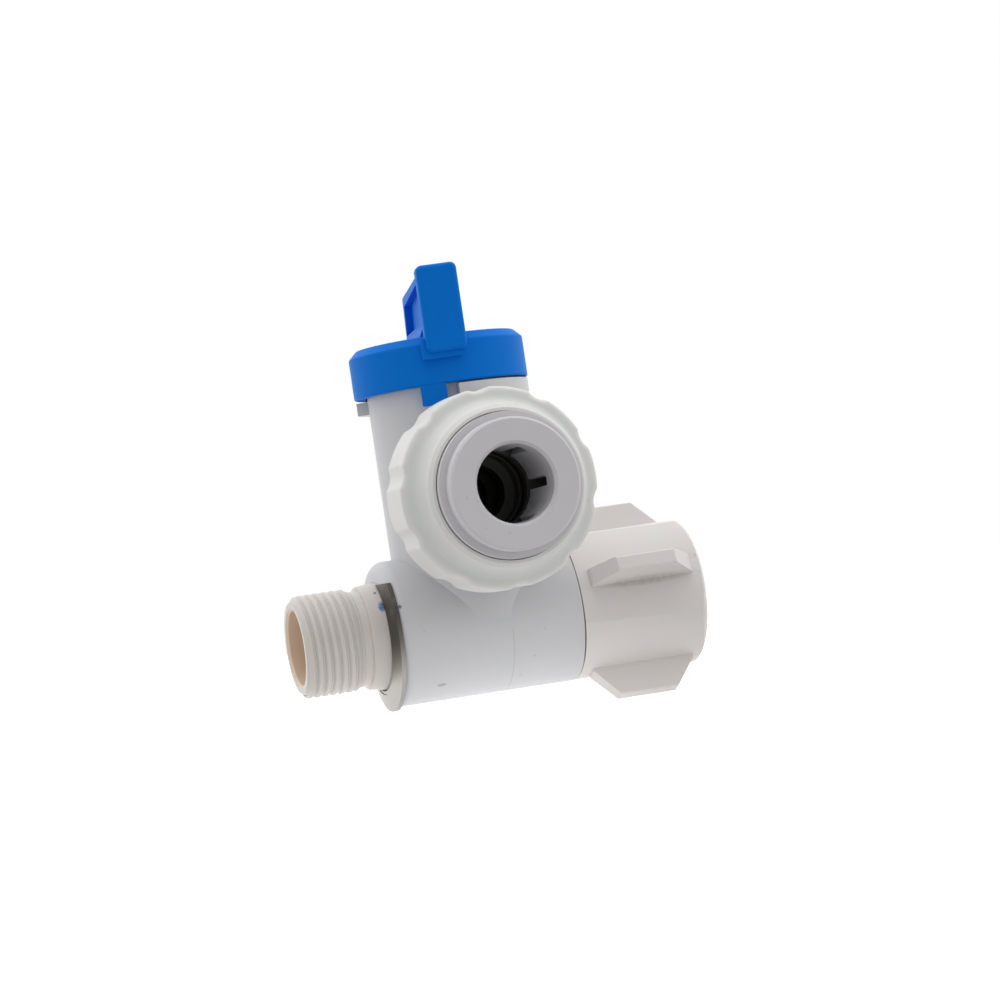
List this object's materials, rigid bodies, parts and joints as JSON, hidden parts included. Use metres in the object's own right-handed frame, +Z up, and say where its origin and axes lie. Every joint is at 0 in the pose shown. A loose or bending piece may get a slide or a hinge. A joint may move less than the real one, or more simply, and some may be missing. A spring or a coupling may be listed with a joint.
{
  "type": "angle valve",
  "caption": "White plastic angle valve with a blue quarter-turn lever, a winged swivel nut, a threaded outlet nipple and a push-fit tube port",
  "frame": {"origin": "Mouth of the inlet nut's thread, on the run's axis", "axes": "+X points out of the inlet, +Z up along the valve stem, -Y out of the tube port"},
  "size_m": [0.0666, 0.0522, 0.0733],
  "materials": {
    "body_white": "satin",
    "acetal_cream": "satin",
    "collar_white": "matte",
    "collet_grey": "matte",
    "handle_blue": "satin",
    "clip_steel": "satin",
    "plug_grey": "matte",
    "seal_black": "matte"
  },
  "bodies": {
    "valve_body": {"body": "body_white", "outlet_nipple": "acetal_cream", "nipple_o_ring_inner": "seal_black", "nipple_o_ring_outer": "seal_black", "retaining_clip": "clip_steel", "nut_snap_ring": "clip_steel", "cone_washer": "seal_black", "port_face_seal": "seal_black", "thrust_washer": "plug_grey", "plug_retainer": "body_white", "port_collar": "collar_white", "tube_o_ring": "seal_black", "o_ring_spacer": "body_white"},
    "handle_body": {"handle": "handle_blue", "valve_plug": "plug_grey", "plug_lower_o_ring": "seal_black", "plug_upper_o_ring": "seal_black", "stem_lower_o_ring": "seal_black", "stem_upper_o_ring": "seal_black"},
    "nut_body": {"inlet_nut": "acetal_cream"},
    "collet_body": {"collet": "collet_grey", "grip_teeth": "clip_steel"}
  },
  "joints": [
    {"name": "handle_turn", "type": "hinge", "parent": "valve_body", "child": "handle_body", "pos_m": [-0.0357, 0, 0], "axis": [0, 0, 1], "range_deg": [-82.3, 7.7]},
    {"name": "nut_spin", "type": "hinge", "parent": "valve_body", "child": "nut_body", "pos_m": [0, 0, 0], "axis": [1, 0, 0], "continuous": true},
    {"name": "collet_slide", "type": "slide", "parent": "valve_body", "child": "collet_body", "axis": [0, 1, 0], "range_m": [0, 0.0013]}
  ]
}
